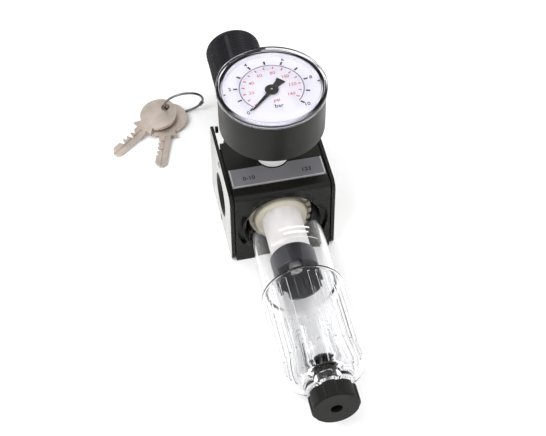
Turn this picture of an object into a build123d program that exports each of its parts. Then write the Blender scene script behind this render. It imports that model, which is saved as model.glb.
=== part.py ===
from build123d import *
from math import atan2, cos, degrees, hypot, pi, radians, sin, sqrt
import os

# Filter regulator lying on its back. Millimetres.
# X runs through the two ports, Y along the main axis towards the knob, Z up out of the gauge.
# The origin is the middle of the block's back face, which rests on the ground.

# ---------------------------------------------------------------- driving dimensions
axis_height = 21.2          # main axis above the back face
body_width = 49.6           # over the two side flanges
body_depth = 43.4           # back face to front face
body_length = 48.8          # drain end to knob end of the flanges
core_top = 11.8             # knob end of the block between the flanges
flange_thickness = 1.6
flange_groove = 0.7         # gap between flange and block
flange_groove_depth = 2.0
lip_depth = 2.2             # small inward lip on each flange's front corner
lip_width = 1.6
lip_length = 4.0
corner_radius = 4.0
core_front_fillet = 2.5

port_minor_radius = 9.3     # G 1/2 tapping size
port_mouth_radius = 10.85
port_depth = 14.0
flange_tap_radius = 1.65    # inlet side, tapping size for M4
flange_clear_radius = 2.15  # outlet side, clearance for M4
flange_hole_spacing = 37.0
flange_hole_offset = 2.0    # from the port axis, towards the knob
flange_hole_depth = 6.0

running_gap = 0.06          # shaft in its bore
free_gap = 0.35             # between moving pieces that never touch

pocket_inner = 19.2         # crescent pockets beside the bowl
pocket_outer = 21.4
pocket_depth = 2.0
pocket_deg = 56.0

bowl_radius = 17.0
bowl_wall = 1.6
bowl_top = -14.0            # Y of the bowl's open end, inside the block
bowl_floor = -113.0         # Y of the bowl's outer floor
bowl_floor_wall = 2.4
belly_radius = 19.0         # the ribbed lower part is wider than the part that screws in
belly_start = -64.0
shoulder_rounding = 1.8
bowl_rounding = 6.0
bowl_rib_count = 30
bowl_rib_height = 0.5
bowl_rib_start = -68.0
neck_collar_radius = 11.4
neck_collar_length = 4.0
neck_radius = 10.6
neck_length = 3.4
neck_spigot_radius = 7.6
neck_spigot_length = 1.6

poppet_chamber_radius = 7.2
seat_radius = 3.6
seat_plane = -2.0           # Y of the seat's sealing face
outlet_chamber_radius = 8.5

filter_radius = 9.3
filter_inner_radius = 6.4
filter_top = -22.0
filter_end = -44.6
baffle_radius = 10.5
baffle_end = -62.0
# openings in the baffle's rim: middle and width in degrees, 90 along +Z, and depth
baffle_openings = ((90, 116, 6.7), (226, 26, 4.0), (-5, 22, 4.0))
tie_radius = 2.0
tie_head_radius = 2.9

drain_stem_radius = 4.4
drain_travel = 1.5
drain_knob_radius = 10.8
drain_knob_length = 8.0
drain_hole_radius = 2.65
drain_flutes = 8

diaphragm_radius = 16.4
diaphragm_thickness = 1.2
plate_radius = 11.0
bonnet_flange = 37.6        # square, across flats
bonnet_flange_thickness = 5.0
bonnet_dome_radius = 17.5
bonnet_neck_radius = 11.6
bonnet_neck_start = 50.0
bonnet_end = 80.0
bonnet_wall = 2.0
bonnet_screw_offset = 15.4
bonnet_screw_radius = 1.5
spring_wire = 1.1           # radius of the main spring's wire
spring_mean_radius = 8.0
spring_turns = 5
nut_position = 44.0
nut_thickness = 5.0
nut_travel = 7.5
screw_radius = 3.0
knob_radius = 14.1
knob_start = 53.0
knob_end = 98.2
knob_wall = 1.9
knob_flutes = 60
lock_radius = 5.6
cam_reach = 8.6

gauge_y = -1.5
gauge_back = 65.2           # Z of the case's back
gauge_front = 87.4          # Z of the case's front edge
gauge_radius = 24.5
gauge_back_radius = 24.2
gauge_wall = 1.3
lens_radius = 25.0
lens_top = 90.0
dial_plane = 85.4
dial_radius = 22.1
dial_thickness = 0.5
stem_square = 14.0
gauge_port_radius = 5.72    # G 1/4 tapping size
gauge_port_depth = 12.0
gear_module = 0.5
pinion_teeth = 12
sector_teeth = 54
movement_plane = 78.4
tube_radius = 19.0          # bourdon tube's middle line
tube_plane = gauge_back + 6.4
tube_sweep = 250.0

plate_width = 44.0
plate_height = 11.5
plate_thickness = 1.0
plate_bottom = -17.8

ring_radius = 9.9
ring_wire = 0.6
ring_lean = 108.6
ring_centre = (-30.0, 76.0)
key_bow_radius = 9.5
key_thickness = 1.6
key_hole_radius = 2.2
key_hole_offset = 5.1
key_reach = 37.0            # hole to tip
key_blade_width = 5.8

# ---------------------------------------------------------------- derived places
half_width = body_width / 2
body_end = -body_length / 2
core_half = half_width - flange_thickness
bowl_inner = bowl_radius - bowl_wall
belly_inner = belly_radius - bowl_wall
socket_radius = bowl_radius + free_gap
hub_end = bonnet_end + 7.0  # the knob's hub, round the screw's end
chamber_floor = bowl_top + 1.0
main_axis = Axis((0, 0, axis_height), (0, 1, 0))
gauge_axis = Axis((0, gauge_y, 0), (0, 0, 1))


# ---------------------------------------------------------------- helpers
def turned(*points, arc=360):
    """A solid of revolution about the main axis, from (radius, Y) points."""
    profile = Plane((0, 0, axis_height)) * make_face(Polyline(*points, close=True))
    return revolve(profile, main_axis, arc)


def gauge_turned(*points):
    """A solid of revolution about the gauge's axis, from (radius, Z) points."""
    plane = Plane((0, gauge_y, 0), x_dir=(1, 0, 0), z_dir=(0, -1, 0))
    return revolve(plane * make_face(Polyline(*points, close=True)), gauge_axis)


def rod(radius, y0, y1, x=0.0, z=0.0):
    """A cylinder along Y from y0 to y1, offset from the main axis by x and z."""
    low, high = min(y0, y1), max(y0, y1)
    plane = Plane((x, low, axis_height + z), x_dir=(1, 0, 0), z_dir=(0, 1, 0))
    return extrude(plane * Circle(radius), high - low)


def cross_rod(radius, x0, x1, y=0.0, z=0.0):
    """A cylinder along X from x0 to x1."""
    low, high = min(x0, x1), max(x0, x1)
    plane = Plane((low, y, axis_height + z), x_dir=(0, 1, 0), z_dir=(1, 0, 0))
    return extrude(plane * Circle(radius), high - low)


def post(radius, z0, z1, x=0.0, y=0.0):
    """A cylinder along Z from z0 to z1, offset from the gauge's axis by x and y."""
    return Pos(x, gauge_y + y, z0) * extrude(Circle(radius), z1 - z0)


def block(x0, x1, y0, y1, z0, z1):
    """A box between two corners."""
    centre = ((x0 + x1) / 2, (y0 + y1) / 2, (z0 + z1) / 2)
    return Pos(*centre) * Box(x1 - x0, y1 - y0, z1 - z0)


def around(shape, count, start=0.0):
    """Copies of a shape, evenly spaced about the main axis."""
    return [shape.rotate(main_axis, start + 360.0 / count * i) for i in range(count)]


def ring_sector(inner, outer, y0, y1, middle, width):
    """Part of a ring about the main axis: middle and width in degrees, 0 along +X."""
    points = ((inner, y0), (outer, y0), (outer, y1), (inner, y1))
    return turned(*points, arc=width).rotate(main_axis, -middle - width / 2)


def save(shape, node):
    export_step(shape, f"parts/{node}.step")


# ---------------------------------------------------------------- block
def make_body():
    core = block(-core_half, core_half, body_end, core_top, 0, body_depth)
    front_edge = core.edges().filter_by(Axis.X).group_by(Axis.Y)[0].sort_by(Axis.Z)[-1]
    core = fillet(front_edge, core_front_fillet)
    shape = core
    for side in (-1, 1):
        edge = side * half_width
        flange = block(min(edge, edge - side * flange_thickness), max(edge, edge - side * flange_thickness),
                       body_end, -body_end, 0, body_depth)
        flange = fillet(flange.edges().filter_by(Axis.X).group_by(Axis.Y)[0], corner_radius)
        flange = fillet(flange.edges().filter_by(Axis.X).group_by(Axis.Y)[-1], 1.0)
        shape = shape + flange
        foot = edge - side * flange_thickness
        lip = block(min(foot, foot - side * lip_depth), max(foot, foot - side * lip_depth),
                    -body_end - lip_width, -body_end, body_depth - lip_length, body_depth - 1.0)
        shape = shape + lip
        outer = side * core_half
        inner = outer - side * flange_groove
        low, high = min(outer, inner), max(outer, inner)
        hollow = block(low, high, body_end + flange_groove_depth, core_top - flange_groove_depth,
                       flange_groove_depth, body_depth - flange_groove_depth)
        shape = shape - (block(low, high, body_end, -body_end, 0, body_depth) - hollow)

    shape -= turned((0, body_end), (socket_radius + 1.0, body_end), (socket_radius, body_end + 1.2),
                    (socket_radius, chamber_floor), (0, chamber_floor))
    for middle in (0, 180):
        shape -= ring_sector(pocket_inner, pocket_outer, body_end, body_end + pocket_depth, middle, pocket_deg)

    shape -= rod(poppet_chamber_radius, chamber_floor - 0.1, seat_plane)
    shape -= rod(seat_radius + 1.4, seat_plane - 0.1, seat_plane + 3.0)
    shape -= rod(outlet_chamber_radius, seat_plane + 3.0, core_top)
    for side in (-1, 1):
        edge = side * half_width
        shape -= cross_rod(port_minor_radius, edge, edge - side * port_depth)
        mouth = Plane((edge, 0, axis_height), x_dir=(0, 1, 0), z_dir=(-side, 0, 0))
        cone = extrude(mouth * Circle(port_mouth_radius), 1.6, taper=44)
        shape -= cone
        hole = flange_tap_radius if side < 0 else flange_clear_radius
        for z in (-1, 1):
            shape -= cross_rod(hole, edge, edge - side * flange_hole_depth,
                               y=flange_hole_offset, z=z * flange_hole_spacing / 2)
    inlet_x = -(half_width - port_depth + 3.4)
    shape -= rod(3.0, chamber_floor - 0.1, -port_minor_radius + 2.5, x=inlet_x)
    shape -= cross_rod(3.4, 0, half_width - port_depth + 0.1, y=5.0)
    for x in (-1, 1):
        for z in (-1, 1):
            shape -= rod(bonnet_screw_radius, core_top - 8.0, core_top,
                         x=x * bonnet_screw_offset, z=z * bonnet_screw_offset)
    shape -= post(gauge_port_radius, body_depth - gauge_port_depth, body_depth)
    shape -= Pos(0, 3.2, axis_height) * extrude(Circle(1.4), body_depth - axis_height - 2)
    shape -= label_pocket()
    return shape


def label_pocket():
    return block(-plate_width / 2, plate_width / 2, plate_bottom, plate_bottom + plate_height,
                 body_depth - plate_thickness / 2, body_depth + 1)


def make_label_plate():
    plate = block(-plate_width / 2, plate_width / 2, plate_bottom, plate_bottom + plate_height,
                  body_depth - plate_thickness / 2, body_depth + plate_thickness / 2)
    plate = chamfer(plate.faces().sort_by(Axis.Z)[-1].edges(), 0.25)
    return plate - post(gauge_port_radius + 2.1, body_depth - 1, body_depth + 2)


# ---------------------------------------------------------------- valve in the block
def make_valve_seat():
    r = seat_radius + 1.4
    return turned((seat_radius, seat_plane), (r, seat_plane), (r, seat_plane + 3.0),
                  (seat_radius, seat_plane + 3.0))


def make_poppet():
    y = seat_plane - 1.4
    return turned((0, y), (5.6, y), (5.6, y - 1.6), (2.0, y - 1.6), (2.0, chamber_floor + 0.2),
                  (0, chamber_floor + 0.2))


def make_poppet_seal():
    y = seat_plane
    return turned((1.25, y), (5.0, y), (5.0, y - 1.4), (1.25, y - 1.4))


def make_valve_pin():
    return rod(1.2, seat_plane - 1.4, core_top - 0.1)


def coil(mean_radius, wire, y0, y1, turns):
    """A round-wire helix about the main axis, whose wire lies between y0 and y1."""
    length = abs(y1 - y0) - 2 * wire
    path = Helix(pitch=length / turns, height=length, radius=mean_radius)
    section = Plane(path @ 0, z_dir=path % 0) * Circle(wire)
    spring = sweep(section, path)
    laid = Rot(-90, 0, 0) * spring
    return Pos(0, min(y0, y1) + wire, axis_height) * laid


def make_poppet_spring():
    return coil(3.4, 0.4, chamber_floor + 3.2, seat_plane - 3.15, 4)


def make_valve_retainer():
    y0, y1 = chamber_floor, chamber_floor + 3.0
    bore = 2.0 + running_gap
    shape = turned((bore, y0), (poppet_chamber_radius - 0.05, y0), (poppet_chamber_radius - 0.05, y1), (bore, y1))
    shape -= [rod(0.9, y0 - 1, y1 + 1, x=4.9).rotate(main_axis, a) for a in (0, 60, 120, 180, 240, 300)]
    return shape


# ---------------------------------------------------------------- filter
def make_deflector():
    top, low = bowl_top - 3.2, bowl_top - 6.0
    rim = bowl_inner - 0.5
    shape = turned((tie_radius, top), (rim - 2.2, top), (rim, top - 1.0), (rim, low), (rim - 1.2, low),
                   (rim - 2.6, top - 1.4), (tie_radius, top - 1.4))
    shape += turned((5.2, chamber_floor), (poppet_chamber_radius - 0.4, chamber_floor),
                    (poppet_chamber_radius - 0.4, top - 1.0), (5.2, top - 1.0))
    slot = block(rim - 1.9, rim + 1, -0.5, 0.5, 0, 7).rotate(Axis.X, 28)
    slot = Pos(0, (top + low) / 2, axis_height - 3.5) * slot
    return shape - around(slot, 20)


def make_filter_seat():
    top = bowl_top - 4.6
    return turned((tie_radius, top), (12.6, top - 1.2), (12.6, filter_top + 0.6), (12.0, filter_top),
                  (tie_radius, filter_top)) - around(rod(1.1, top + 1, filter_top - 1, x=4.3), 6)


def make_filter_element():
    return turned((filter_inner_radius, filter_top), (filter_radius, filter_top),
                  (filter_radius, filter_end), (filter_inner_radius, filter_end))


def make_baffle():
    floor = filter_end - 5.2
    shape = turned((tie_radius, filter_end), (baffle_radius - 0.8, filter_end), (baffle_radius, filter_end - 1.0),
                   (baffle_radius, baffle_end), (baffle_radius - 1.3, baffle_end),
                   (baffle_radius - 1.3, floor), (tie_radius, floor))
    for middle, width, depth in baffle_openings:
        shape -= ring_sector(baffle_radius - 3, baffle_radius + 1, baffle_end - 1, baffle_end + depth, middle, width)
    return shape


def make_tie_bolt():
    head = filter_end - 5.2
    return turned((0, chamber_floor - 0.9), (tie_radius, chamber_floor - 0.9), (tie_radius, head),
                  (tie_head_radius, head), (tie_head_radius, head - 3.4), (1.1, head - 4.2), (1.1, head - 2.4),
                  (0, head - 2.4))


# ---------------------------------------------------------------- bowl
def bowl_section(neck, belly, floor, rounding):
    """Half a section of the bowl: a straight neck, a sloping shoulder and a wider belly."""
    slope = belly - neck
    section = make_face(Polyline((0, bowl_top), (neck, bowl_top), (neck, belly_start), (belly, belly_start - slope),
                                 (belly, floor), (0, floor), close=True))
    section = fillet(section.vertices().group_by(Axis.Y)[0].sort_by(Axis.X)[-1], rounding)
    shoulder = section.vertices().filter_by(lambda v: abs(v.Y - belly_start + slope) < 0.01)
    section = fillet(shoulder, shoulder_rounding)
    return Plane((0, 0, axis_height)) * section


def make_bowl():
    floor = bowl_floor
    inner_floor = floor + bowl_floor_wall
    outer = bowl_section(bowl_radius, belly_radius, floor, bowl_rounding)
    inner = bowl_section(bowl_inner, belly_inner, inner_floor, bowl_rounding - bowl_wall)
    shape = revolve(outer, main_axis) - revolve(inner, main_axis)

    rib_end = inner_floor + bowl_rounding
    rib = block(belly_inner - bowl_rib_height, belly_inner + 0.4, rib_end, bowl_rib_start, -0.45, 0.45)
    rib = Pos(0, 0, axis_height) * rib
    shape = shape + around(rib, bowl_rib_count)
    fin = Pos(0, 0, axis_height) * block(6.4, 8.2, inner_floor - 0.4, -88.0, -0.4, 0.4)
    shape = shape + around(fin, 12, 15)

    collar_end = floor - neck_collar_length
    neck_end = collar_end - neck_length
    spigot_end = neck_end - neck_spigot_length
    shape = shape + turned((0, floor + 1), (neck_collar_radius, floor + 1), (neck_collar_radius, collar_end),
                           (neck_radius, collar_end), (neck_radius, neck_end), (neck_spigot_radius, neck_end),
                           (neck_spigot_radius, spigot_end), (0, spigot_end))
    bore = drain_stem_radius + running_gap
    shape = shape - turned((0, inner_floor + 1), (bore + 1.2, inner_floor + 1), (bore + 1.2, inner_floor - 0.6),
                           (bore, inner_floor - 1.8), (bore, spigot_end - 1), (0, spigot_end - 1))
    seal = bowl_top - 0.9
    shape = shape - turned((bowl_radius - 0.9, seal), (bowl_radius + 1, seal), (bowl_radius + 1, seal - 1.3),
                           (bowl_radius - 0.9, seal - 1.3))
    return shape


def make_bowl_oring():
    seal = bowl_top - 0.9
    return turned((bowl_radius - 0.9, seal - 0.05), (socket_radius - 0.03, seal - 0.25),
                  (socket_radius - 0.03, seal - 1.05), (bowl_radius - 0.9, seal - 1.25))


# ---------------------------------------------------------------- drain
def make_drain_valve():
    seat = bowl_floor + bowl_floor_wall
    tip = bowl_floor - neck_collar_length - neck_length - neck_spigot_length - 5.0
    hole = 1.6
    shape = turned((0, seat + 6.5), (3.0, seat + 6.5), (5.6, seat + 4.0), (5.6, seat + 0.8),
                   (drain_stem_radius, seat + 0.8), (drain_stem_radius, tip), (hole, tip), (hole, seat - 2.6),
                   (0, seat - 2.6))
    return shape - cross_rod(1.0, -10, 10, y=seat - 1.4)


def make_drain_seal():
    seat = bowl_floor + bowl_floor_wall
    return turned((drain_stem_radius + 0.02, seat + 0.75), (5.6, seat + 0.75), (5.6, seat + 0.02),
                  (drain_stem_radius + 0.02, seat + 0.02))


def make_drain_knob():
    neck_end = bowl_floor - neck_collar_length - neck_length
    top = neck_end - drain_travel - 0.2
    end = top - drain_knob_length
    recess = neck_end - neck_spigot_length - drain_travel - 0.3
    tip = bowl_floor - neck_collar_length - neck_length - neck_spigot_length - 5.0
    shape = rod(drain_knob_radius, top, end)
    shape = chamfer(shape.faces().sort_by(Axis.Y)[0].edges(), 0.8)
    flute = rod(3.0, top + 1, end - 1, x=drain_knob_radius + 2.2)
    shape = shape - around(flute, drain_flutes, 11)
    shape -= rod(neck_spigot_radius + 0.4, top + 1, recess)
    shape -= rod(drain_stem_radius, recess + 1, tip)
    shape -= rod(drain_hole_radius, tip + 1, end - 1)
    return shape


# ---------------------------------------------------------------- regulator
def make_diaphragm():
    y = core_top
    return turned((4.0, y), (diaphragm_radius, y), (diaphragm_radius, y + diaphragm_thickness),
                  (4.0, y + diaphragm_thickness))


def make_diaphragm_plate():
    y = core_top + diaphragm_thickness
    return turned((0, core_top), (3.9, core_top), (3.9, y + 0.1), (plate_radius, y + 0.1),
                  (plate_radius, y + 2.0), (5.0, y + 2.0), (5.0, y + 4.0), (0, y + 4.0))


def make_bonnet():
    base = core_top
    flange_end = base + bonnet_flange_thickness
    half = bonnet_flange / 2
    flange = block(-half, half, base, flange_end, axis_height - half, axis_height + half)
    flange = fillet(flange.edges().filter_by(Axis.Y), 3.0)
    dome = turned((0, flange_end), (bonnet_dome_radius, flange_end), (bonnet_dome_radius, 32.0),
                  (bonnet_dome_radius - 1.2, 34.5), (bonnet_neck_radius, bonnet_neck_start),
                  (bonnet_neck_radius, bonnet_end), (0, bonnet_end))
    shape = flange + dome
    pocket = base + diaphragm_thickness
    nut_bore = bonnet_neck_radius - bonnet_wall
    wall_start = bonnet_end - 6.0
    shape -= turned((0, base), (diaphragm_radius + 0.1, base), (diaphragm_radius + 0.1, pocket),
                    (diaphragm_radius - 2.4, pocket), (diaphragm_radius - 2.4, 32.0), (nut_bore, 42.0),
                    (nut_bore, wall_start), (0, wall_start))
    shape -= rod(screw_radius + 1.0 + running_gap, wall_start - 1, bonnet_end + 1)
    for x in (-1, 1):
        for z in (-1, 1):
            at = dict(x=x * bonnet_screw_offset, z=z * bonnet_screw_offset)
            shape -= rod(bonnet_screw_radius + 0.2, base - 1, flange_end + 1, **at)
            shape -= rod(3.1, flange_end - 1.6, flange_end + 9, **at)
    groove = Pos(0, 0, axis_height) * block(nut_bore - 1, nut_bore + 1.2, 30.0, nut_position + nut_thickness + 1,
                                            -1.7, 1.7)
    return shape - around(groove, 2)


def make_bonnet_screws():
    top = core_top + bonnet_flange_thickness - 1.6
    screws = []
    for x in (-1, 1):
        for z in (-1, 1):
            at = dict(x=x * bonnet_screw_offset, z=z * bonnet_screw_offset)
            screw = rod(bonnet_screw_radius, core_top - 7.0, top, **at) + rod(2.75, top, top + 2.6, **at)
            socket = Plane((at["x"], top + 1.2, axis_height + at["z"]), x_dir=(1, 0, 0), z_dir=(0, 1, 0))
            screws.append(screw - extrude(socket * RegularPolygon(1.4, 6), 3))
    return Compound(screws)


def make_main_spring():
    start = core_top + diaphragm_thickness + 2.0
    return coil(spring_mean_radius, spring_wire, start + 0.05, nut_position - 0.05, spring_turns)


def make_spring_nut():
    bore = bonnet_neck_radius - bonnet_wall - 0.3
    end = nut_position + nut_thickness
    shape = turned((screw_radius + running_gap, nut_position), (bore, nut_position), (bore, end),
                   (screw_radius + running_gap, end))
    lug = Pos(0, 0, axis_height) * block(bore - 0.6, bore + 1.1, nut_position, end, -1.4, 1.4)
    return shape + around(lug, 2)


def make_adjusting_screw():
    wall_start = bonnet_end - 6.0
    collar = wall_start - 1.6
    return turned((0, nut_position - nut_travel - 4), (screw_radius, nut_position - nut_travel - 4),
                  (screw_radius, collar - 3), (6.0, collar - 3), (6.0, collar), (screw_radius + 1.0, collar),
                  (screw_radius + 1.0, hub_end), (0, hub_end))


def make_thrust_washer():
    wall_start = bonnet_end - 6.0
    return turned((screw_radius + 1.1, wall_start - 1.5), (7.0, wall_start - 1.5), (7.0, wall_start - 0.1),
                  (screw_radius + 1.1, wall_start - 0.1))


def make_knob():
    inner = knob_radius - knob_wall
    hub_start = bonnet_end + 1.0
    pocket_end = hub_end + 3.0
    shape = turned((inner, knob_start), (knob_radius - 0.8, knob_start), (knob_radius, knob_start + 0.8),
                   (knob_radius, knob_end - 0.5), (knob_radius - 0.5, knob_end), (lock_radius + 1.0, knob_end),
                   (lock_radius + running_gap, knob_end - 1.0), (lock_radius + running_gap, pocket_end),
                   (cam_reach + 1.0, pocket_end), (cam_reach + 1.0, hub_end), (screw_radius + 1.0, hub_end),
                   (screw_radius + 1.0, hub_start), (inner, hub_start))
    flute = rod(0.45, knob_start + 2.0, knob_end - 2.4, x=knob_radius + 0.15)
    return shape - around(flute, knob_flutes)


def make_lock_cylinder():
    back = hub_end + 3.0
    shape = turned((0, back), (lock_radius, back), (lock_radius, knob_end - 0.6), (lock_radius - 0.5, knob_end),
                   (0, knob_end))
    return shape - block(-3.7, 3.7, knob_end - 7.0, knob_end + 1, axis_height - 0.9, axis_height + 0.9)


def make_lock_cam():
    end = hub_end + 3.0
    start = end - 1.3
    shape = rod(3.0, start, end)
    arm = Pos(0, 0, axis_height) * block(-2.2, 2.2, start, end, 0, cam_reach)
    return shape + arm


# ---------------------------------------------------------------- gauge
def make_gauge_case():
    r0, r1 = gauge_back_radius, gauge_radius
    front = gauge_front - dial_thickness
    return gauge_turned((stem_square / 2 - 1.0, gauge_back), (r0 - 1.0, gauge_back), (r0, gauge_back + 0.7),
                        (r1, front), (r1 - gauge_wall, front), (r0 - gauge_wall, gauge_back + 2.4),
                        (stem_square / 2 - 1.0, gauge_back + 2.4))


def make_gauge_lens():
    z = lens_top
    return gauge_turned((0, z - 1.2), (22.0, z - 1.2), (22.3, z - 0.7), (23.4, z - 0.7), (23.7, z),
                        (24.6, z), (lens_radius, z - 0.5), (lens_radius, gauge_front - 0.6),
                        (gauge_radius + 0.1, gauge_front - 0.6), (gauge_radius + 0.1, gauge_front),
                        (dial_radius + 0.6, gauge_front), (dial_radius + 0.2, z - 2.4), (0, z - 2.4))


def make_gauge_dial():
    thick = dial_thickness
    r = dial_radius
    rim = gauge_radius - 0.2
    return gauge_turned((0.8, dial_plane - thick), (r, dial_plane - thick), (r + 0.8, gauge_front - thick),
                        (rim, gauge_front - thick), (rim, gauge_front), (r + 0.5, gauge_front),
                        (r - 0.2, dial_plane), (0.8, dial_plane))


def make_gauge_pointer():
    z0 = dial_plane + 0.6
    thick = 0.4
    needle = make_face(Polyline((-1.5, -0.9), (-14.9, -0.25), (-15.4, 0), (-14.9, 0.25), (-1.5, 0.9), close=True))
    tail = make_face(Polyline((1.5, 1.2), (5.6, 1.5), (8.2, 2.9), (8.2, -2.9), (5.6, -1.5), (1.5, -1.2),
                              close=True))
    flat = extrude(needle + tail + Circle(3.1), thick)
    flat = flat + extrude(Circle(2.0), thick + 0.5) - extrude(Circle(0.45), 3)
    return Pos(0, gauge_y, z0) * Rot(0, 0, pointer_rest) * flat


pointer_rest = 45.0         # the pointer's tip lies at lower left, 225 degrees, when there is no pressure


def involute(base, radius):
    """The polar angle of an involute of a base circle, at a radius."""
    a = sqrt(max(radius * radius / (base * base) - 1, 0))
    return a - atan2(a, 1)


def gear_tooth(module, teeth, backlash):
    """One tooth's outline about +X, from just inside the root to the tip."""
    pitch = module * teeth / 2
    base = pitch * cos(radians(20))
    tip, root = pitch + 0.85 * module, pitch - 1.15 * module
    half = pi / 2 / teeth - backlash / pitch
    flank = []
    start = max(base, root)
    for i in range(7):
        r = start + (tip - start) * i / 6
        a = half + involute(base, pitch) - involute(base, r)
        flank.append((r * cos(a), r * sin(a)))
    first = atan2(flank[0][1], flank[0][0])
    foot = root - 0.15
    lower = [(foot * cos(first), foot * sin(first))] + flank
    mirrored = [(x, -y) for x, y in reversed(lower)]
    return make_face(Polyline(*lower, *mirrored, close=True))


def gear_teeth(module, teeth, wanted, backlash=0.06):
    tooth = gear_tooth(module, teeth, backlash)
    return [Rot(0, 0, 360.0 / teeth * i) * tooth for i in wanted]


gear_distance = gear_module * (pinion_teeth + sector_teeth) / 2
sector_sweep = 270.0 * pinion_teeth / sector_teeth
movement_turn = 0.0         # direction from the pinion to the sector's pivot


def make_pinion():
    root = gear_module * pinion_teeth / 2 - 1.15 * gear_module
    flat = Circle(root)
    for tooth in gear_teeth(gear_module, pinion_teeth, range(pinion_teeth)):
        flat = flat + tooth
    wheel = Pos(0, gauge_y, movement_plane) * Rot(0, 0, 180.0 / pinion_teeth) * extrude(flat, 1.6)
    return wheel + post(0.7, gauge_back + 7.5, dial_plane + 0.6) + post(0.45, dial_plane + 0.5, dial_plane + 1.5)


def make_sector_gear():
    pitch = gear_module * sector_teeth / 2
    root = pitch - 1.15 * gear_module
    step = 360.0 / sector_teeth
    before, after = 1, int(sector_sweep / step) + 2
    start, end = -(after + 0.5) * step, (before + 0.5) * step
    wedge = [(0, 0)]
    for i in range(9):
        a = radians(start + (end - start) * i / 8)
        wedge.append((root * 1.2 * cos(a), root * 1.2 * sin(a)))
    flat = Circle(root) & make_face(Polyline(*wedge, close=True))
    for tooth in gear_teeth(gear_module, sector_teeth, range(-after, before + 1)):
        flat = flat + tooth
    flat = flat + Circle(2.0)
    flat = flat - Circle(0.8 + running_gap)
    flat = Rot(0, 0, 180) * flat
    at = Pos(gear_distance * cos(radians(movement_turn)), gauge_y + gear_distance * sin(radians(movement_turn)),
             movement_plane)
    return at * extrude(flat, 1.2)


def make_movement_plates():
    x = gear_distance
    outline = make_face(Polyline((-6, -6), (x + 3, -4), (x + 3, 4), (-6, 6), close=True))
    outline = fillet(outline.vertices(), 2.0)
    outline = outline - Circle(0.7 + running_gap)
    outline = outline - Pos(x, 0) * Circle(0.8 + running_gap)
    plates = []
    for z in (movement_plane - 3.0, movement_plane + 3.2):
        plates.append(Pos(0, gauge_y, z) * extrude(outline, 1.0))
    return Compound(plates)


def make_movement_posts():
    low, high = movement_plane - 2.0, movement_plane + 3.2
    posts = [post(0.9, low, high, x=-4.0, y=y) for y in (-3.2, 3.2)]
    return Compound(posts)


def make_sector_shaft():
    return post(0.8, movement_plane - 3.0, movement_plane + 4.2, x=gear_distance)


def make_bourdon_tube():
    mean, z = tube_radius, tube_plane
    plane = Plane((0, gauge_y, 0), x_dir=(1, 0, 0), z_dir=(0, -1, 0))
    section = plane * Pos(mean, z) * (SlotOverall(6.4, 2.4, rotation=90) - SlotOverall(5.7, 1.7, rotation=90))
    tube = revolve(section, gauge_axis, tube_sweep)
    return tube.rotate(gauge_axis, -90)


def make_tube_tip():
    mean, z = tube_radius, tube_plane
    tip = block(mean - 1.6, mean + 1.6, gauge_y, gauge_y + 1.6, z - 3.4, z + 3.4)
    return tip.rotate(gauge_axis, tube_sweep - 90)


def make_gauge_stem():
    thread_end = body_depth - gauge_port_depth + 1.0
    square_start = body_depth + 7.6
    square_end = square_start + 9.0
    foot_plane = tube_plane - 3.3
    shape = post(gauge_port_radius - 0.05, thread_end, body_depth + 0.1)
    shape += post(6.5, body_depth, square_start)
    square = Pos(0, gauge_y, square_start) * extrude(Rectangle(stem_square, stem_square), square_end - square_start)
    square = chamfer(square.edges().filter_by(Axis.Z), 1.0)
    shape += square
    shape += post(stem_square / 2 - 1.3, square_end, foot_plane)
    shape += block(-4.5, 4.5, gauge_y - 20.2, gauge_y + 4.5, foot_plane - 0.7, foot_plane)
    shape += block(-4.0, 0.0, gauge_y - 20.4, gauge_y - 14.0, foot_plane, foot_plane + 7.0)
    shape -= post(1.2, thread_end - 1, gauge_back - 2)
    return shape


def make_thread_tape():
    return gauge_turned((6.5, body_depth + 0.6), (7.3, body_depth + 0.8), (7.45, body_depth + 3.2),
                        (7.2, body_depth + 6.6), (6.5, body_depth + 7.0))


# ---------------------------------------------------------------- keys
def key_place(hole, tip):
    """The place of a key whose bow is raised and whose tip is down: x to z are the hole's centre."""
    dx, dy, dz = tip[0] - hole[0], tip[1] - hole[1], tip[2] - hole[2]
    heading = degrees(atan2(dy, dx))
    dip = degrees(atan2(-dz, hypot(dx, dy)))
    return Pos(*hole) * Rot(0, 0, heading) * Rot(0, dip, 0)


def make_key(cuts):
    """A key in its own plane: the hole at the origin, the blade towards +X."""
    bow = Pos(key_hole_offset, 0) * Circle(key_bow_radius)
    collar_start = key_hole_offset + key_bow_radius - 0.9
    collar = make_face(Polyline((collar_start, -4.2), (collar_start + 3.4, -6.4), (collar_start + 3.0, 0),
                                (collar_start + 3.4, 6.4), (collar_start, 4.2), close=True))
    half = key_blade_width / 2
    blade = make_face(Polyline((collar_start, -half), (key_reach - 2.2, -half), (key_reach, -half + 2.4),
                               (key_reach, half - 1.6), (key_reach - 1.4, half), (collar_start, half), close=True))
    shape = extrude(bow + collar + blade - Circle(key_hole_radius), key_thickness / 2, both=True)
    first = collar_start + 7.5
    for i, depth in enumerate(cuts):
        x = first + 2.7 * i
        notch = make_face(Polyline((x - 0.45, -half + depth), (x + 0.45, -half + depth), (x + 1.5, -half - 1),
                                   (x - 1.5, -half - 1), close=True))
        shape -= extrude(notch, key_thickness, both=True)
    groove = Pos(collar_start + 4.0, 0.6, key_thickness / 2 - 0.45)
    shape -= groove * Box(30, 1.3, 1, align=(Align.MIN, Align.CENTER, Align.MIN))
    groove = Pos(collar_start + 4.0, -0.9, -key_thickness / 2 + 0.45)
    shape -= groove * Box(30, 1.1, 1, align=(Align.MIN, Align.CENTER, Align.MAX))
    return shape


ring_middle = ring_radius * sin(radians(ring_lean)) + ring_wire


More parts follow.
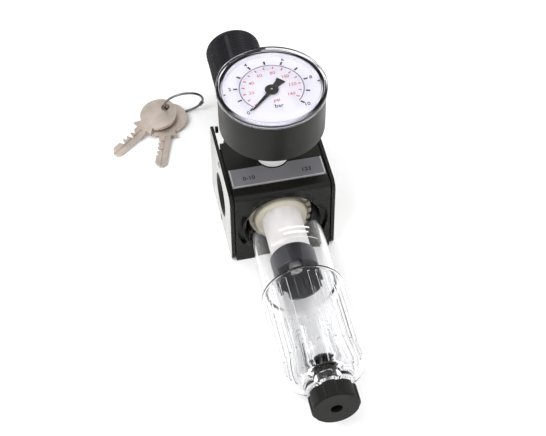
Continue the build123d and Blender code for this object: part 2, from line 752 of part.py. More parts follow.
def ring_point(height):
    """Where the ring's left side is at a height above the ground: x, y."""
    rise = (height - ring_middle) / sin(radians(ring_lean))
    return (ring_centre[0] - sqrt(ring_radius ** 2 - rise ** 2), ring_centre[1] + rise * cos(radians(ring_lean)))


key_a_height, key_b_height = 7.0, 3.6
key_a_hole = (*ring_point(key_a_height), key_a_height)
key_b_hole = (*ring_point(key_b_height), key_b_height)
key_a_heading, key_b_heading = 215.0, 253.0


def key_tip(hole, heading):
    level = key_thickness / 2 + 0.15
    reach = sqrt(key_reach ** 2 - (hole[2] - level) ** 2)
    a = radians(heading)
    return (hole[0] + reach * cos(a), hole[1] + reach * sin(a), level)


def make_key_ring():
    loop = Torus(ring_radius, ring_wire)
    crimp = Pos(ring_radius, 0, 0) * Cylinder(ring_wire + 0.35, 2.6, rotation=(90, 0, 0))
    shape = (loop + crimp.rotate(Axis.Z, -22)).rotate(Axis.X, ring_lean)
    return Pos(ring_centre[0], ring_centre[1], ring_middle) * shape


# ---------------------------------------------------------------- write every piece
os.makedirs("parts", exist_ok=True)

pieces = {
    "body": make_body,
    "label_plate": make_label_plate,
    "valve_seat": make_valve_seat,
    "poppet": make_poppet,
    "poppet_seal": make_poppet_seal,
    "valve_pin": make_valve_pin,
    "poppet_spring": make_poppet_spring,
    "valve_retainer": make_valve_retainer,
    "deflector": make_deflector,
    "filter_seat": make_filter_seat,
    "filter_element": make_filter_element,
    "baffle": make_baffle,
    "tie_bolt": make_tie_bolt,
    "bowl": make_bowl,
    "bowl_oring": make_bowl_oring,
    "drain_valve": make_drain_valve,
    "drain_seal": make_drain_seal,
    "drain_knob": make_drain_knob,
    "diaphragm": make_diaphragm,
    "diaphragm_plate": make_diaphragm_plate,
    "bonnet": make_bonnet,
    "bonnet_screws": make_bonnet_screws,
    "main_spring": make_main_spring,
    "spring_nut": make_spring_nut,
    "adjusting_screw": make_adjusting_screw,
    "thrust_washer": make_thrust_washer,
    "knob": make_knob,
    "lock_cylinder": make_lock_cylinder,
    "lock_cam": make_lock_cam,
    "gauge_case": make_gauge_case,
    "gauge_lens": make_gauge_lens,
    "gauge_dial": make_gauge_dial,
    "gauge_pointer": make_gauge_pointer,
    "pinion": make_pinion,
    "sector_gear": make_sector_gear,
    "sector_shaft": make_sector_shaft,
    "movement_plates": make_movement_plates,
    "movement_posts": make_movement_posts,
    "bourdon_tube": make_bourdon_tube,
    "tube_tip": make_tube_tip,
    "gauge_stem": make_gauge_stem,
    "thread_tape": make_thread_tape,
    "key_ring": make_key_ring,
}

for node, make in pieces.items():
    save(make(), node)

for node, hole, heading, cuts in (("key_a", key_a_hole, key_a_heading, (1.8, 3.0, 1.4, 2.6)),
                                  ("key_b", key_b_hole, key_b_heading, (2.6, 1.4, 3.0, 1.8))):
    save(key_place(hole, key_tip(hole, heading)) * make_key(cuts), node)
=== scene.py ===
from math import atan2, cos, pi, radians, sin

import bpy
from mathutils import Matrix, Vector


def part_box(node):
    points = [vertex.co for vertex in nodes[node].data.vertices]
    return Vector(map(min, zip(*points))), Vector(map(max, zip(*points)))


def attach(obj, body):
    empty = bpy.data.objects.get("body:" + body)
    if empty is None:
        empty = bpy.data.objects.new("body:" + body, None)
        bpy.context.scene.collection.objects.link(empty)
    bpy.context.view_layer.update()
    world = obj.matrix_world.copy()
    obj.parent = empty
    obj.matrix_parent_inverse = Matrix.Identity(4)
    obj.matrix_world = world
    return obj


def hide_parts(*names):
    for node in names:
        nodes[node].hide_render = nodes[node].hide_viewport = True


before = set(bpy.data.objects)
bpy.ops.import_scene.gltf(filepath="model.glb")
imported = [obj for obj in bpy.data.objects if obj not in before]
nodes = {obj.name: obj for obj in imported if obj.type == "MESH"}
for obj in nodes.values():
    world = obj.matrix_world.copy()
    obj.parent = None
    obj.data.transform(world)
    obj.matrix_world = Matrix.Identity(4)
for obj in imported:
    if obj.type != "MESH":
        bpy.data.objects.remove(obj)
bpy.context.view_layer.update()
mm = 0.001
print("frame loaded:", len(nodes), "parts")


# where things are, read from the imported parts
def middleOf(node):
    low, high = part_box(node)
    return Vector([(low[i] + high[i]) / 2 for i in range(3)])


axisZ = middleOf("knob").z
gaugeY = middleOf("gauge_case").y
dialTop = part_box("gauge_dial")[1][2]
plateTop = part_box("label_plate")[1][2]


# small tools
def clearSelection():
    if bpy.context.object is not None and bpy.context.object.mode != "OBJECT":
        bpy.ops.object.mode_set(mode="OBJECT")
    bpy.ops.object.select_all(action="DESELECT")


def only(obj):
    clearSelection()
    obj.select_set(True)
    bpy.context.view_layer.objects.active = obj


def settle(obj, name):
    # the place goes into the mesh, so that the object itself sits at the origin
    only(obj)
    bpy.ops.object.transform_apply(location=True, rotation=True, scale=True)
    obj.name = name
    obj.data.name = name
    return obj


def joined(objs, name):
    clearSelection()
    for obj in objs:
        obj.select_set(True)
    bpy.context.view_layer.objects.active = objs[0]
    bpy.ops.object.join()
    obj = bpy.context.object
    obj.name = name
    obj.data.name = name
    return obj


def addModifier(obj, kind, **values):
    only(obj)
    mod = obj.modifiers.new(kind, kind)
    for key, value in values.items():
        setattr(mod, key, value)
    bpy.ops.object.modifier_apply(modifier=mod.name)


def smooth(obj, angle=35):
    only(obj)
    bpy.ops.object.shade_smooth_by_angle(angle=radians(angle))


def outwards(obj):
    only(obj)
    bpy.ops.object.mode_set(mode="EDIT")
    bpy.ops.mesh.select_all(action="SELECT")
    bpy.ops.mesh.remove_doubles(threshold=0.000002)
    bpy.ops.mesh.normals_make_consistent(inside=False)
    bpy.ops.object.mode_set(mode="OBJECT")


# materials
def newMaterial(name, color, roughness, metallic=0.0):
    mat = bpy.data.materials.new(name)
    mat.use_nodes = True
    shader = mat.node_tree.nodes["Principled BSDF"]
    shader.inputs["Base Color"].default_value = (*color, 1)
    shader.inputs["Roughness"].default_value = roughness
    shader.inputs["Metallic"].default_value = metallic
    return mat, mat.node_tree, shader


def addNode(tree, kind, **values):
    node = tree.nodes.new(kind)
    for key, value in values.items():
        if key in node.inputs:
            node.inputs[key].default_value = value
        else:
            setattr(node, key, value)
    return node


def makeGrainGroup():
    # fine moulded or cast grain: a height for a bump and a mask that varies the shine
    group = bpy.data.node_groups.new("surfaceGrain", "ShaderNodeTree")
    group.interface.new_socket("Scale", in_out="INPUT", socket_type="NodeSocketFloat")
    group.interface.new_socket("Strength", in_out="INPUT", socket_type="NodeSocketFloat")
    group.interface.new_socket("Rough Low", in_out="INPUT", socket_type="NodeSocketFloat")
    group.interface.new_socket("Rough High", in_out="INPUT", socket_type="NodeSocketFloat")
    group.interface.new_socket("Normal", in_out="OUTPUT", socket_type="NodeSocketVector")
    group.interface.new_socket("Roughness", in_out="OUTPUT", socket_type="NodeSocketFloat")
    source = group.nodes.new("NodeGroupInput")
    out = group.nodes.new("NodeGroupOutput")
    coords = group.nodes.new("ShaderNodeTexCoord")
    fine = addNode(group, "ShaderNodeTexNoise", Detail=3.0, Roughness=0.6)
    broad = addNode(group, "ShaderNodeTexNoise", Scale=90.0, Detail=4.0)
    bump = addNode(group, "ShaderNodeBump", Distance=0.0004)
    spread = group.nodes.new("ShaderNodeMapRange")
    spread.inputs["From Min"].default_value = 0.3
    spread.inputs["From Max"].default_value = 0.7
    link = group.links.new
    link(coords.outputs["Object"], fine.inputs["Vector"])
    link(coords.outputs["Object"], broad.inputs["Vector"])
    link(source.outputs["Scale"], fine.inputs["Scale"])
    link(source.outputs["Strength"], bump.inputs["Strength"])
    link(fine.outputs["Fac"], bump.inputs["Height"])
    link(broad.outputs["Fac"], spread.inputs["Value"])
    link(source.outputs["Rough Low"], spread.inputs["To Min"])
    link(source.outputs["Rough High"], spread.inputs["To Max"])
    link(spread.outputs["Result"], out.inputs["Roughness"])
    link(bump.outputs["Normal"], out.inputs["Normal"])
    return group


def makeMaskGroup():
    # white where the distance from the middle plane X = 0 is more than Limit
    group = bpy.data.node_groups.new("outerSides", "ShaderNodeTree")
    group.interface.new_socket("Limit", in_out="INPUT", socket_type="NodeSocketFloat")
    group.interface.new_socket("Mask", in_out="OUTPUT", socket_type="NodeSocketFloat")
    source = group.nodes.new("NodeGroupInput")
    out = group.nodes.new("NodeGroupOutput")
    coords = group.nodes.new("ShaderNodeTexCoord")
    split = group.nodes.new("ShaderNodeSeparateXYZ")
    size = addNode(group, "ShaderNodeMath", operation="ABSOLUTE")
    test = addNode(group, "ShaderNodeMath", operation="GREATER_THAN")
    group.links.new(coords.outputs["Object"], split.inputs["Vector"])
    group.links.new(split.outputs["X"], size.inputs[0])
    group.links.new(size.outputs["Value"], test.inputs[0])
    group.links.new(source.outputs["Limit"], test.inputs[1])
    group.links.new(test.outputs["Value"], out.inputs["Mask"])
    return group


grainGroup = makeGrainGroup()
maskGroup = makeMaskGroup()


def grained(tree, shader, scale, strength, low, high):
    grain = tree.nodes.new("ShaderNodeGroup")
    grain.node_tree = grainGroup
    for key, value in zip(("Scale", "Strength", "Rough Low", "Rough High"), (scale, strength, low, high)):
        grain.inputs[key].default_value = value
    tree.links.new(grain.outputs["Normal"], shader.inputs["Normal"])
    tree.links.new(grain.outputs["Roughness"], shader.inputs["Roughness"])


def mottled(tree, shader, dark, light, scale):
    # a slow change between two colours over the surface
    coords = tree.nodes.new("ShaderNodeTexCoord")
    noise = addNode(tree, "ShaderNodeTexNoise", Scale=scale, Detail=5.0)
    ramp = tree.nodes.new("ShaderNodeValToRGB")
    ramp.color_ramp.elements[0].position = 0.35
    ramp.color_ramp.elements[0].color = (*dark, 1)
    ramp.color_ramp.elements[1].position = 0.68
    ramp.color_ramp.elements[1].color = (*light, 1)
    tree.links.new(coords.outputs["Object"], noise.inputs["Vector"])
    tree.links.new(noise.outputs["Fac"], ramp.inputs["Fac"])
    tree.links.new(ramp.outputs["Color"], shader.inputs["Base Color"])


castingValues = {
    "paint": (0.006, 0.006, 0.005),
    "bareMetal": (0.47, 0.47, 0.45),    # the machined outer sides of the flanges
    "bareFrom": 24.76 * mm,             # distance from the middle plane
    "metallic": 0.75,
    "shine": 0.22,
}


def makeCasting(v):
    mat, tree, shader = newMaterial("blackCasting", v["paint"], 0.3)
    shader.inputs["Specular IOR Level"].default_value = v["shine"]
    grained(tree, shader, 1400.0, 0.05, 0.2, 0.34)
    mask = tree.nodes.new("ShaderNodeGroup")
    mask.node_tree = maskGroup
    mask.inputs["Limit"].default_value = v["bareFrom"]
    mix = addNode(tree, "ShaderNodeMix", data_type="RGBA")
    mix.inputs["A"].default_value = (*v["paint"], 1)
    mix.inputs["B"].default_value = (*v["bareMetal"], 1)
    tree.links.new(mask.outputs["Mask"], mix.inputs["Factor"])
    tree.links.new(mix.outputs["Result"], shader.inputs["Base Color"])
    metal = addNode(tree, "ShaderNodeMath", operation="MULTIPLY")
    metal.inputs[1].default_value = v["metallic"]
    tree.links.new(mask.outputs["Mask"], metal.inputs[0])
    tree.links.new(metal.outputs["Value"], shader.inputs["Metallic"])
    return mat


def makePlain(name, color, low, high, scale=900.0, strength=0.12, metallic=0.0, light=None, shine=0.5):
    mat, tree, shader = newMaterial(name, color, (low + high) / 2, metallic)
    shader.inputs["Specular IOR Level"].default_value = shine
    grained(tree, shader, scale, strength, low, high)
    if light is not None:
        mottled(tree, shader, color, light, 60.0)
    return mat


def makeClear(name, color, roughness, ior):
    mat, tree, shader = newMaterial(name, color, roughness)
    shader.inputs["Transmission Weight"].default_value = 1.0
    shader.inputs["IOR"].default_value = ior
    grained(tree, shader, 240.0, 0.02, roughness, roughness + 0.04)
    return mat


materials = {
    "casting": makeCasting(castingValues),
    "knobBlack": makePlain("knobBlack", (0.006, 0.006, 0.009), 0.34, 0.5, 1600.0, 0.1, shine=0.16),
    "caseBlack": makePlain("caseBlack", (0.010, 0.010, 0.008), 0.3, 0.42, 1800.0, 0.06, shine=0.16),
    "plasticBlack": makePlain("plasticBlack", (0.007, 0.007, 0.006), 0.38, 0.52, 1200.0, 0.15, shine=0.14),
    "rubber": makePlain("rubber", (0.02, 0.02, 0.02), 0.6, 0.75, 1500.0, 0.2),
    "cream": makePlain("cream", (0.70, 0.66, 0.52), 0.38, 0.5, 700.0, 0.1, 0.0, (0.78, 0.74, 0.60)),
    "paleBoss": makePlain("paleBoss", (0.62, 0.62, 0.64), 0.34, 0.46, 800.0, 0.08),
    "filter": makePlain("filter", (0.74, 0.70, 0.70), 0.75, 0.9, 2400.0, 0.7, 0.0, (0.84, 0.81, 0.80)),
    "baffle": makePlain("baffle", (0.024, 0.024, 0.030), 0.32, 0.46, 900.0, 0.12, shine=0.3),
    "clearBowl": makeClear("clearBowl", (0.995, 0.995, 1.0), 0.01, 1.28),
    "clearLens": makeClear("clearLens", (0.985, 0.985, 1.0), 0.01, 1.22),
    "plateGrey": makePlain("plateGrey", (0.16, 0.16, 0.175), 0.4, 0.55, 1500.0, 0.1, 0.35),
    # pale colour for the label plate's raised edges: painted highlight standing in for the light on the
    # bevels
    "plateEdgeHighlight": makePlain("plateEdgeHighlight", (0.62, 0.62, 0.65), 0.3, 0.4, 1200.0, 0.06, 0.7),
    "brass": makePlain("brass", (0.78, 0.58, 0.28), 0.22, 0.36, 500.0, 0.1, 1.0),
    "steel": makePlain("steel", (0.58, 0.58, 0.60), 0.24, 0.4, 600.0, 0.1, 1.0),
    "nickel": makePlain("nickel", (0.36, 0.31, 0.27), 0.3, 0.55, 420.0, 0.35, 0.85, (0.60, 0.52, 0.46)),
    "wire": makePlain("wire", (0.16, 0.16, 0.16), 0.3, 0.42, 500.0, 0.1, 1.0),
    "dial": makePlain("dial", (0.78, 0.77, 0.84), 0.4, 0.5, 1500.0, 0.03),
    "ink": makePlain("ink", (0.008, 0.008, 0.010), 0.5, 0.6, 900.0, 0.05, shine=0.2),
    "inkArc": makePlain("inkArc", (0.20, 0.15, 0.20), 0.5, 0.6, 900.0, 0.05),
    "inkRed": makePlain("inkRed", (0.55, 0.10, 0.12), 0.5, 0.6, 900.0, 0.05),
    "inkWhite": makePlain("inkWhite", (0.85, 0.85, 0.84), 0.5, 0.6, 900.0, 0.05),
    "tape": makePlain("tape", (0.86, 0.86, 0.86), 0.5, 0.7, 1200.0, 0.4),
}
nodeMaterials = {
    "casting": ["body"],
    "knobBlack": ["knob"],
    "caseBlack": ["gauge_case"],
    "plasticBlack": ["bonnet", "drain_knob", "drain_valve", "spring_nut", "valve_retainer"],
    "rubber": ["poppet_seal", "bowl_oring", "drain_seal", "diaphragm"],
    "cream": ["deflector", "filter_seat"],
    "paleBoss": ["tie_bolt"],
    "filter": ["filter_element"],
    "baffle": ["baffle"],
    "clearBowl": ["bowl"],
    "clearLens": ["gauge_lens"],
    "plateGrey": ["label_plate"],
    "brass": ["valve_seat", "poppet", "valve_pin", "thrust_washer", "gauge_stem",
              "movement_plates", "pinion", "sector_gear", "bourdon_tube", "tube_tip"],
    "steel": ["poppet_spring", "main_spring", "bonnet_screws", "adjusting_screw", "diaphragm_plate",
              "sector_shaft", "movement_posts"],
    "nickel": ["key_a", "key_b", "lock_cylinder", "lock_cam"],
    "wire": ["key_ring"],
    "dial": ["gauge_dial"],
    "ink": ["gauge_pointer"],
    "tape": ["thread_tape"],
}
for key, names in nodeMaterials.items():
    for name in names:
        nodes[name].data.materials.clear()
        nodes[name].data.materials.append(materials[key])
print("materials on the parts")

# drawing a section and spinning it
def drawLine(name, points):
    # a chain of edges: one point, extruded along the outline
    clearSelection()
    bpy.ops.mesh.primitive_plane_add(size=mm, location=points[0])
    obj = bpy.context.object
    bpy.ops.object.mode_set(mode="EDIT")
    bpy.ops.mesh.select_all(action="SELECT")
    bpy.ops.mesh.merge(type="CENTER")
    bpy.ops.mesh.select_mode(type="VERT")
    bpy.ops.mesh.select_all(action="SELECT")
    for before, after in zip(points, points[1:]):
        step = Vector(after) - Vector(before)
        bpy.ops.mesh.extrude_region_move(TRANSFORM_OT_translate={"value": step})
    bpy.ops.object.mode_set(mode="OBJECT")
    obj.name = name
    return obj


def spun(name, profile, steps, mainAxis=True, closed=True):
    # profile holds (radius, place along the axis) in metres, going round the section
    points = list(profile) + ([profile[0]] if closed else [])
    if mainAxis:
        line = drawLine(name, [(r, y, axisZ) for r, y in points])
        center, axis = (0, 0, axisZ), (0, 1, 0)
    else:
        line = drawLine(name, [(r, gaugeY, z) for r, z in points])
        center, axis = (0, gaugeY, 0), (0, 0, 1)
    settle(line, name)
    bpy.ops.object.mode_set(mode="EDIT")
    bpy.ops.mesh.select_all(action="SELECT")
    bpy.ops.mesh.spin(steps=steps, angle=2 * pi, center=center, axis=axis)
    bpy.ops.object.mode_set(mode="OBJECT")
    outwards(line)
    return line


# knurled knob
knobValues = {
    "around": 74,           # diamonds round the knob
    "along": 33,
    "depth": 0.42 * mm,
    "knurlStart": 2.2 * mm,
    "knurlEnd": 2.6 * mm,
    "wall": 1.9 * mm,
    "lockHole": 5.66 * mm,
    "lockPocket": 9.2 * mm,             # how deep the lock's hole is
    "endEdge": ((3.0, 0.0), (1.4, 0.15), (0.5, 0.7), (0.1, 1.6)),   # in from the outside, back from the end
}


def makeKnob(v):
    low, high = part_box("knob")
    radius = (high[0] - low[0]) / 2
    start, end = low[1] + v["knurlStart"], high[1] - v["knurlEnd"]
    clearSelection()
    bpy.ops.mesh.primitive_cylinder_add(vertices=2 * v["around"], radius=radius, depth=end - start,
                                        end_fill_type="NOTHING", location=(0, (start + end) / 2, axisZ),
                                        rotation=(pi / 2, 0, 0))
    knob = settle(bpy.context.object, "knurledKnob")
    bpy.ops.object.mode_set(mode="EDIT")
    bpy.ops.mesh.select_mode(type="EDGE")
    bpy.ops.mesh.select_all(action="DESELECT")
    bpy.ops.object.mode_set(mode="OBJECT")
    verts = knob.data.vertices
    for edge in knob.data.edges:
        edge.select = abs(verts[edge.vertices[0]].co.y - verts[edge.vertices[1]].co.y) > mm
    bpy.ops.object.mode_set(mode="EDIT")
    bpy.ops.mesh.subdivide(number_cuts=2 * v["along"] - 1)
    bpy.ops.mesh.select_mode(type="VERT")
    bpy.ops.mesh.select_all(action="DESELECT")
    bpy.ops.object.mode_set(mode="OBJECT")
    pitch = (end - start) / (2 * v["along"])
    for vert in knob.data.vertices:
        row = round((vert.co.y - start) / pitch)
        turn = atan2(vert.co.z - axisZ, vert.co.x) % (2 * pi)
        column = round(turn / (pi / v["around"]) + 0.5)
        vert.select = (row + column) % 2 == 1 or row in (0, 2 * v["along"])
    bpy.ops.object.mode_set(mode="EDIT")
    bpy.ops.mesh.vert_connect()
    shrink = 1 - v["depth"] / radius
    bpy.ops.transform.resize(value=(shrink, 1, shrink), center_override=(0, 0, axisZ))
    bpy.ops.object.mode_set(mode="OBJECT")

    root = radius - v["depth"]
    inner = radius - v["wall"]
    pocket = high[1] - v["lockPocket"]
    endEdge = [(radius - inwards * mm, high[1] - back * mm) for inwards, back in v["endEdge"]]
    ends = spun("knobEnds", [
        (root, start), (root, start - 0.5 * mm), (radius - 0.1 * mm, start - 0.8 * mm),
        (radius - 0.1 * mm, low[1] + 0.6 * mm), (radius - 0.7 * mm, low[1]), (inner, low[1]),
        (inner, pocket), (v["lockHole"], pocket), (v["lockHole"], high[1] - 0.9 * mm),
        (v["lockHole"] + 1.0 * mm, high[1] - 0.1 * mm), *endEdge,
        (root, high[1] - 2.1 * mm), (root, end)],
        2 * v["around"], closed=False)
    smooth(ends, 30)
    knob = joined([knob, ends], "knurledKnob")
    outwards(knob)
    knob.data.materials.clear()
    knob.data.materials.append(materials["knobBlack"])
    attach(knob, "knob")
    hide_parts("knob")


makeKnob(knobValues)
print("knob")


# the dial's printed scale
dialValues = {
    "lift": 0.02 * mm,
    "ink": 0.05 * mm,
    "start": radians(225),
    "sweep": radians(270),
    "barTick": (15.2, 17.2, 0.85),      # inner and outer radius and width, millimetres
    "arc": (14.2, 14.7),
    "barNumbers": 18.7,
    "barNumberSize": 2.8,
    "psiTick": (12.0, 13.4, 0.6),
    "psiNumbers": 9.5,
    "psiNumberSize": 2.5,
    "edgeMark": (20.9, 22.0, 0.7),
    "arcSteps": 90,
    "psiPerBar": 14.504,
    "barWord": ("bar", 3.0, 0.9, -11.6),        # text, size, place across and along from the centre
    "psiWord": ("psi", 2.7, 0.6, -8.0),
}


def dialAngle(part):
    return dialValues["start"] - dialValues["sweep"] * part


def makeTick(angle, inner, outer, width):
    clearSelection()
    radius = (inner + outer) / 2 * mm
    place = (radius * cos(angle), gaugeY + radius * sin(angle), dialTop + dialValues["lift"])
    bpy.ops.mesh.primitive_cube_add(size=1, location=place, rotation=(0, 0, angle),
                                    scale=((outer - inner) * mm, width * mm, dialValues["ink"]))
    return settle(bpy.context.object, "tick")


def makeArc(inner, outer, first, last):
    z = dialTop + dialValues["lift"]
    ink = dialValues["ink"] / 2
    corners = [(inner * mm, z - ink), (outer * mm, z - ink), (outer * mm, z + ink), (inner * mm, z + ink)]
    a = dialAngle(first)
    turned = [(r * cos(a), gaugeY + r * sin(a), h) for r, h in corners + corners[:1]]
    arc = settle(drawLine("arc", turned), "arc")
    bpy.ops.object.mode_set(mode="EDIT")
    bpy.ops.mesh.select_all(action="SELECT")
    bpy.ops.mesh.edge_face_add()
    bpy.ops.mesh.spin(steps=dialValues["arcSteps"], angle=a - dialAngle(last),
                      center=(0, gaugeY, 0), axis=(0, 0, 1))
    bpy.ops.object.mode_set(mode="OBJECT")
    outwards(arc)
    return arc


def makeWord(text, size, place):
    clearSelection()
    bpy.ops.object.text_add(location=place)
    word = bpy.context.object
    word.data.body = text
    word.data.size = size * mm
    word.data.align_x = "CENTER"
    word.data.align_y = "CENTER"
    word.data.extrude = dialValues["ink"] / 2
    word.data.offset = size * 0.012 * mm
    word.data.resolution_u = 3
    bpy.ops.object.convert(target="MESH")
    return settle(bpy.context.object, "word")


def addPrint(parts, name, key, body="regulator"):
    sheet = joined(parts, name)
    sheet.data.materials.clear()
    sheet.data.materials.append(materials[key])
    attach(sheet, body)


def makeDial(v):
    z = dialTop + v["lift"]
    black, red = [], []
    for bar in range(11):
        a = dialAngle(bar / 10)
        black.append(makeTick(a, *v["barTick"]))
        if bar % 2 == 0:
            r = v["barNumbers"] * mm
            black.append(makeWord(str(bar), v["barNumberSize"], (r * cos(a), gaugeY + r * sin(a), z)))
    for side in (0, pi):
        black.append(makeTick(side, *v["edgeMark"]))
    text, size, across, along = v["barWord"]
    black.append(makeWord(text, size, (across * mm, gaugeY + along * mm, z)))
    for psi in range(0, 146, 10):
        a = dialAngle(psi / v["psiPerBar"] / 10)
        red.append(makeTick(a, *v["psiTick"]))
        if psi % 20 == 0 and 0 < psi:
            r = v["psiNumbers"] * mm
            red.append(makeWord(str(psi), v["psiNumberSize"], (r * cos(a), gaugeY + r * sin(a), z)))
    text, size, across, along = v["psiWord"]
    red.append(makeWord(text, size, (across * mm, gaugeY + along * mm, z)))
    addPrint(black, "dialPrintBlack", "ink")
    addPrint(red, "dialPrintRed", "inkRed")
    addPrint([makeArc(*v["arc"], 0, 1)], "dialPrintArc", "inkArc")


makeDial(dialValues)
print("dial")


# the pointer, with its tail and hub
pointerValues = {
    "rest": radians(225),
    "tip": 15.2,            # from the pivot, millimetres
    "tipWidth": 0.7,
    "rootWidth": 2.0,
    "tail": 7.6,
    "tailWidth": 4.6,
    "hub": 3.1,
    "thick": 0.5,
}


def makePointer(v):
    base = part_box("gauge_pointer")[0][2]
    half = [v["tipWidth"] / 2, v["rootWidth"] / 2, v["tailWidth"] / 2]
    outline = [(v["tip"], 0), (v["tip"] - 1.2, half[0]), (0, half[1]), (-v["tail"] + 2.2, half[2] * 0.7),
               (-v["tail"], half[2]), (-v["tail"], -half[2]), (-v["tail"] + 2.2, -half[2] * 0.7),
               (0, -half[1]), (v["tip"] - 1.2, -half[0])]
    c, d = cos(v["rest"]), sin(v["rest"])
    points = [((x * c - y * d) * mm, gaugeY + (x * d + y * c) * mm, base) for x, y in outline + outline[:1]]
    blade = settle(drawLine("blade", points), "blade")
    bpy.ops.object.mode_set(mode="EDIT")
    bpy.ops.mesh.select_all(action="SELECT")
    bpy.ops.mesh.remove_doubles(threshold=0.00001)
    bpy.ops.mesh.edge_face_add()
    bpy.ops.mesh.extrude_region_move(TRANSFORM_OT_translate={"value": (0, 0, v["thick"] * mm)})
    bpy.ops.object.mode_set(mode="OBJECT")
    outwards(blade)
    top = base + v["thick"] * mm
    r = v["hub"] * mm
    hub = spun("hub", [(0.5 * mm, top - 0.1 * mm), (r, top - 0.1 * mm), (r, top + 0.1 * mm),
                       (r - 0.3 * mm, top + 0.35 * mm), (0.5 * mm, top + 0.45 * mm)], 48, mainAxis=False)
    smooth(hub, 30)
    pointer = joined([blade, hub], "dialPointer")
    addModifier(pointer, "BEVEL", width=0.06 * mm, segments=2, limit_method="ANGLE")
    pointer.data.materials.clear()
    pointer.data.materials.append(materials["ink"])
    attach(pointer, "pointer")
    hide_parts("gauge_pointer")


makePointer(pointerValues)
print("pointer")


# label plate: a raised edge painted pale as a painted highlight for the light its bevels catch, and two
# generic numbers
plateValues = {
    "rim": 0.5 * mm,
    "raise": 0.12 * mm,
    "numberSize": 3.2,
    "leftNumber": "0-10",
    "rightNumber": "123",
    "inset": 8.5 * mm,
}


def makePlatePrint(v):
    low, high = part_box("label_plate")
    z = plateTop + v["raise"] / 2
    middle = ((low[0] + high[0]) / 2, (low[1] + high[1]) / 2)
    size = (high[0] - low[0], high[1] - low[1])
    edges = []
    bars = [((middle[0], low[1] + v["rim"]), (size[0] - v["rim"], v["rim"])),
            ((low[0] + v["rim"], middle[1]), (v["rim"], size[1] - v["rim"])),
            ((high[0] - v["rim"], middle[1]), (v["rim"], size[1] - v["rim"]))]
    for (x, y), (wide, deep) in bars:
        clearSelection()
        bpy.ops.mesh.primitive_cube_add(size=1, location=(x, y, z), scale=(wide, deep, v["raise"]))
        edges.append(settle(bpy.context.object, "bar"))
    # the edge bars get the pale material: painted highlight, not the plate's own grey
    addPrint(edges, "plateEdgeHighlights", "plateEdgeHighlight")
    bevelled = bpy.data.objects["plateEdgeHighlights"]
    addModifier(bevelled, "BEVEL", width=0.04 * mm, segments=2)
    words = []
    for text, x in ((v["leftNumber"], low[0] + v["inset"]), (v["rightNumber"], high[0] - v["inset"])):
        words.append(makeWord(text, v["numberSize"], (x, middle[1] - mm, plateTop + dialValues["lift"])))
    addPrint(words, "plateNumbers", "ink")


makePlatePrint(plateValues)
print("label")

# printed marks on the clear bowl: dashes in rows over a thin line, all generic
bowlPrintValues = {
    "radius": 17.03,            # just proud of the bowl's neck, millimetres
    "thick": 0.04,
    "rows": ((-41.5, 62, 106, 11), (-44.4, 66, 102, 9)),   # place along Y, first and last angle, dashes
    "dash": (1.5, 0.9),         # length round the bowl and height
    "line": (-47.4, 50, 130, 40),
    "lineWidth": 0.25,
    "speckle": ((-27.0, -38.5, 5), (22, 46, 6)),           # a small patch: rows along Y, columns in angle
    "speckleSize": (0.8, 0.35),
}


def makeMark(angle, y, wide, tall):
    v = bowlPrintValues
    a = radians(angle)
    r = v["radius"] * mm
    clearSelection()
    bpy.ops.mesh.primitive_cube_add(size=1, location=(r * cos(a), y * mm, axisZ + r * sin(a)),
                                    rotation=(0, pi / 2 - a, 0),
                                    scale=(wide * mm, tall * mm, v["thick"] * mm))
    return settle(bpy.context.object, "mark")


def makeBowlPrint(v):
    white = []
    for y, first, last, count in v["rows"]:
        for i in range(count):
            wide = v["dash"][0] * (1 if i % 3 else 0.55)
            white.append(makeMark(first + (last - first) * i / (count - 1), y, wide, v["dash"][1]))
    y, first, last, count = v["line"]
    step = (last - first) / count
    for i in range(count):
        white.append(makeMark(first + step * (i + 0.5), y, radians(step) * v["radius"], v["lineWidth"]))
    addPrint(white, "bowlPrint", "inkWhite", "bowl")
    dark = []
    (top, bottom, rows), (left, right, columns) = v["speckle"]
    for row in range(rows):
        for column in range(columns):
            dark.append(makeMark(left + (right - left) * (column + 0.5 * (row % 2)) / columns,
                                 top + (bottom - top) * row / (rows - 1), *v["speckleSize"]))
    addPrint(dark, "bowlSpeckle", "ink", "bowl")


makeBowlPrint(bowlPrintValues)
print("bowl print")

# camera, floor and light
cameraValues = {
    "lens": 101.2,
    "elevation": radians(49.06),
    "turn": radians(11.75),
    "roll": radians(-0.56),
    "distance": 732.55 * mm,
    "aim": (0.47 * mm, -15.27 * mm),
}


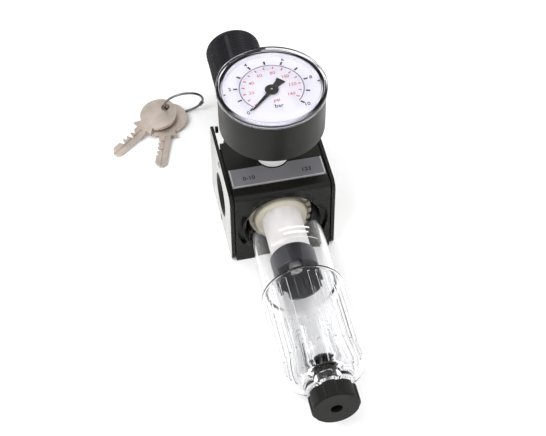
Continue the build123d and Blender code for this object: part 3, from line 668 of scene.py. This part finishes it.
worldLevel = 0.95
areaLights = {      # place, aim, size in metres, and power in watts
    "keyLight": ((-0.55, -0.35, 0.9), (0, 0, 0.03), (0.5, 0.5), 6),
    "sideLight": ((0.75, -0.35, 0.9), (0, 0, 0.03), (0.6, 0.4), 5),
    "stripLight": ((-0.3, -0.15, 0.75), (0, -0.05, 0.03), (0.03, 0.5), 1.0),
}


def addCamera(v):
    right = Vector((1, 0, 0))
    up = Vector((0, sin(v["elevation"]), cos(v["elevation"])))
    back = Vector((0, -cos(v["elevation"]), sin(v["elevation"])))
    side = right * cos(v["roll"]) + up * sin(v["roll"])
    top = up * cos(v["roll"]) - right * sin(v["roll"])
    turn = Matrix.Rotation(-v["turn"], 3, "Z")
    place = turn @ (side * v["aim"][0] + top * v["aim"][1] + back * v["distance"])
    place.z += axisZ
    data = bpy.data.cameras.new("camera")
    data.lens = v["lens"]
    data.sensor_width = 36
    data.clip_start = 0.01
    cam = bpy.data.objects.new("camera", data)
    basis = Matrix([turn @ side, turn @ top, turn @ back]).transposed()
    cam.matrix_world = Matrix.Translation(place) @ basis.to_4x4()
    bpy.context.collection.objects.link(cam)
    bpy.context.scene.camera = cam


def addAreaLight(name, place, aim, size, power):
    data = bpy.data.lights.new(name, "AREA")
    data.shape = "RECTANGLE"
    data.size, data.size_y = size
    data.energy = power
    light = bpy.data.objects.new(name, data)
    light.location = place
    light.rotation_euler = (Vector(aim) - Vector(place)).to_track_quat("-Z", "Y").to_euler()
    bpy.context.collection.objects.link(light)


def addFloor():
    clearSelection()
    bpy.ops.mesh.primitive_plane_add(size=12, location=(0, 0, 0))
    floor = settle(bpy.context.object, "floor")
    mat, tree, shader = newMaterial("paleFloor", (0.93, 0.93, 0.93), 0.8)
    mottled(tree, shader, (0.925, 0.925, 0.925), (0.935, 0.935, 0.935), 3.0)
    floor.data.materials.append(mat)


def addWorld(level):
    world = bpy.data.worlds.new("studio")
    world.use_nodes = True
    world.node_tree.nodes["Background"].inputs["Color"].default_value = (1, 1, 1, 1)
    world.node_tree.nodes["Background"].inputs["Strength"].default_value = level
    bpy.context.scene.world = world


addCamera(cameraValues)
addFloor()
addWorld(worldLevel)
for name, values in areaLights.items():
    addAreaLight(name, *values)
bpy.context.scene.view_settings.view_transform = "Standard"
print("camera, floor and lights")
